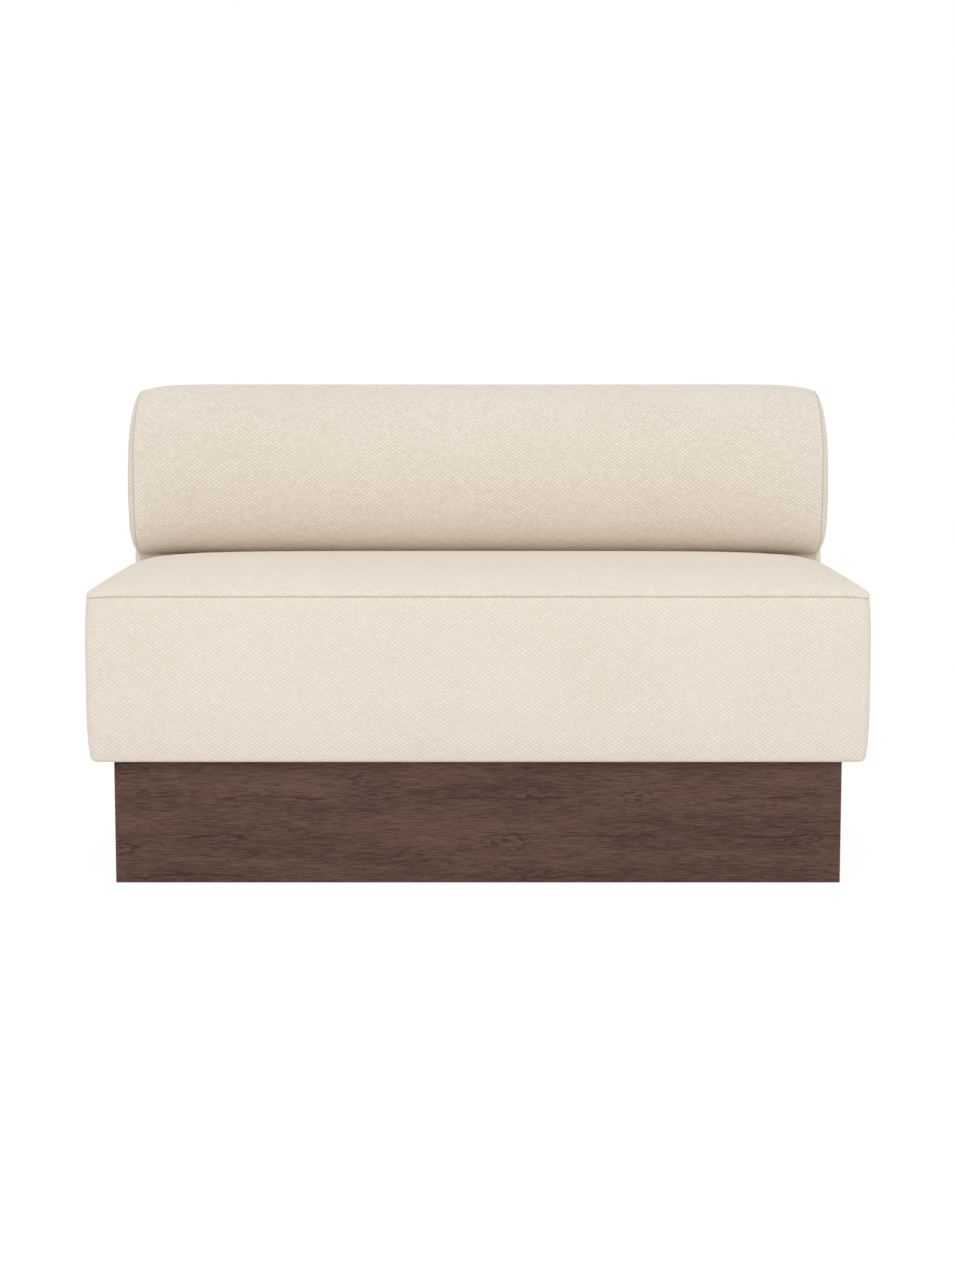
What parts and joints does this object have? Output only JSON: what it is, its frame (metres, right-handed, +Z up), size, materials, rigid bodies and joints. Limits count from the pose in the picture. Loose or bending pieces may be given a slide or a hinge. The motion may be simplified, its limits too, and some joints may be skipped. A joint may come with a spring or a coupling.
{
  "type": "dining sofa",
  "caption": "Upholstered dining sofa: a crowned box seat and a rolled backrest in coarse cream cloth, standing on a recessed dark oak plinth with levelling feet inside it.",
  "frame": {"origin": "on the floor, under the middle of the sofa's bounding box", "axes": "+X to the sofa's right as seen from the front, along its width; -Y is the way it faces; +Z up"},
  "size_m": [1.206, 0.66, 0.764],
  "materials": {
    "oak_veneer": "dark brown stained oak veneer, satin",
    "frame_wood": "raw softwood and beech",
    "plywood": "raw plywood and hardboard",
    "woven_cloth": "coarse cream hopsack weave, matt",
    "foam": "open-cell foam",
    "webbing": "elastic webbing",
    "felt": "needled felt",
    "dust_cloth": "black spun-bonded cloth",
    "zinc_steel": "zinc plated steel",
    "pad_plastic": "black moulded plastic"
  },
  "bodies": {
    "sofa": {"plinth_front_panel": "oak_veneer", "plinth_rear_panel": "oak_veneer", "plinth_left_panel": "oak_veneer", "plinth_right_panel": "oak_veneer", "plinth_divider": "frame_wood", "plinth_cleat_front": "frame_wood", "plinth_cleat_rear": "frame_wood", "plinth_corner_blocks": "frame_wood", "seat_front_rail": "frame_wood", "seat_rear_rail": "frame_wood", "seat_left_rail": "frame_wood", "seat_right_rail": "frame_wood", "seat_cross_rails": "frame_wood", "seat_corner_braces": "frame_wood", "back_rib_left": "plywood", "back_rib_middle": "plywood", "back_rib_right": "plywood", "back_bottom_rails": "plywood", "back_lower_rails": "plywood", "back_top_rails": "plywood", "back_front_board": "plywood", "back_rear_board": "plywood", "seat_top_panel": "woven_cloth", "seat_band": "woven_cloth", "back_wrap_panel": "woven_cloth", "back_end_panel_left": "woven_cloth", "back_end_panel_right": "woven_cloth", "seat_foam_core": "foam", "seat_foam_topper": "foam", "seat_border_front": "foam", "seat_border_left": "foam", "seat_border_right": "foam", "back_foam_roll": "foam", "back_end_pad_left": "foam", "back_end_pad_right": "foam", "webbing_lengthwise": "webbing", "webbing_crosswise": "webbing", "seat_felt_sheet": "felt", "seat_dust_sheet": "dust_cloth", "back_dust_sheet": "dust_cloth", "plinth_screws": "zinc_steel", "leveller_nuts": "zinc_steel", "back_bolts": "zinc_steel", "back_bolt_washers": "zinc_steel", "back_bolt_nuts": "zinc_steel"},
    "leveller_front_left": {"leveller_stem_front_left": "zinc_steel", "leveller_pad_front_left": "pad_plastic"},
    "leveller_front_right": {"leveller_stem_front_right": "zinc_steel", "leveller_pad_front_right": "pad_plastic"},
    "leveller_rear_left": {"leveller_stem_rear_left": "zinc_steel", "leveller_pad_rear_left": "pad_plastic"},
    "leveller_rear_right": {"leveller_stem_rear_right": "zinc_steel", "leveller_pad_rear_right": "pad_plastic"}
  },
  "joints": [
    {"name": "leveller_front_left_screw", "type": "slide", "parent": "sofa", "child": "leveller_front_left", "axis": [0, 0, -1], "range_m": [0, 0.012]},
    {"name": "leveller_front_right_screw", "type": "slide", "parent": "sofa", "child": "leveller_front_right", "axis": [0, 0, -1], "range_m": [0, 0.012]},
    {"name": "leveller_rear_left_screw", "type": "slide", "parent": "sofa", "child": "leveller_rear_left", "axis": [0, 0, -1], "range_m": [0, 0.012]},
    {"name": "leveller_rear_right_screw", "type": "slide", "parent": "sofa", "child": "leveller_rear_right", "axis": [0, 0, -1], "range_m": [0, 0.012]}
  ]
}
